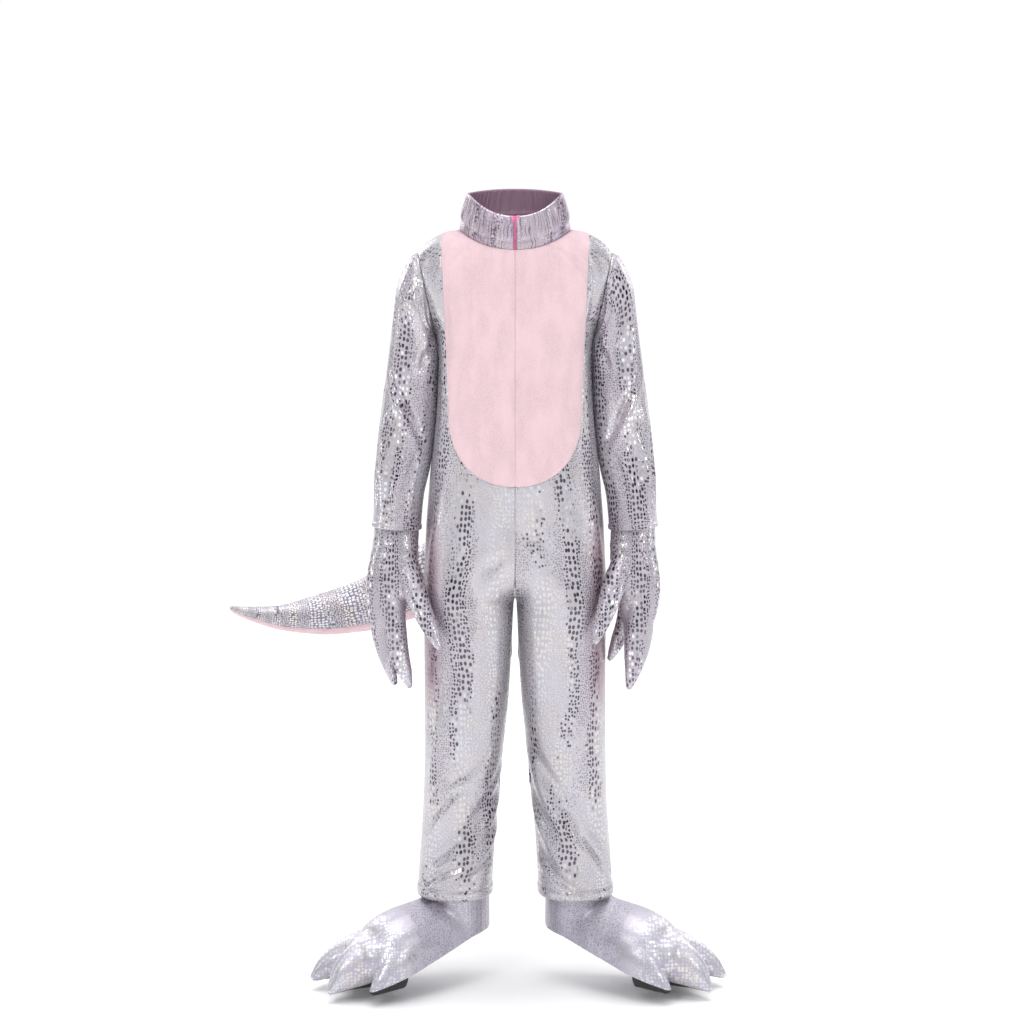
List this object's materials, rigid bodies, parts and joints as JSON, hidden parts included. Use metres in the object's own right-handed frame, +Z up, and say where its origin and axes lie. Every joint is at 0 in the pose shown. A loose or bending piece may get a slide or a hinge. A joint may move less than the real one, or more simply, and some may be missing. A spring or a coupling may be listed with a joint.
{
  "type": "dinosaur costume",
  "caption": "Child's dinosaur jumpsuit in foil-printed knit with a plush belly, stand-up collar, stuffed tail, clawed gloves and clawed foot covers, filled out as it is worn.",
  "frame": {"origin": "the middle of the neck opening, level with where its sides rest on the wearer's shoulders", "axes": "+Z up, -Y the way the wearer faces, +X the wearer's left"},
  "size_m": [0.6184, 0.3092, 0.9587],
  "materials": {
    "foil_knit": "pale lilac-grey knit with a mirror-like foil scale print",
    "pink_plush": "matt short-pile plush",
    "pink_zip": "woven zip tape with a moulded coil",
    "dark_backing": "matt dark woven backing"
  },
  "bodies": {
    "root": {"front_right": "foil_knit", "back_right": "foil_knit", "sleeve_right": "foil_knit", "glove_back_right": "foil_knit", "foot_cover_right": "foil_knit", "belly_right": "pink_plush", "glove_palm_right": "pink_plush", "claw_underside_right": "dark_backing", "front_left": "foil_knit", "back_left": "foil_knit", "sleeve_left": "foil_knit", "glove_back_left": "foil_knit", "foot_cover_left": "foil_knit", "belly_left": "pink_plush", "glove_palm_left": "pink_plush", "claw_underside_left": "dark_backing", "collar": "foil_knit", "zip_tape": "pink_zip", "tail_top": "foil_knit", "tail_underside": "pink_plush"}
  },
  "joints": []
}
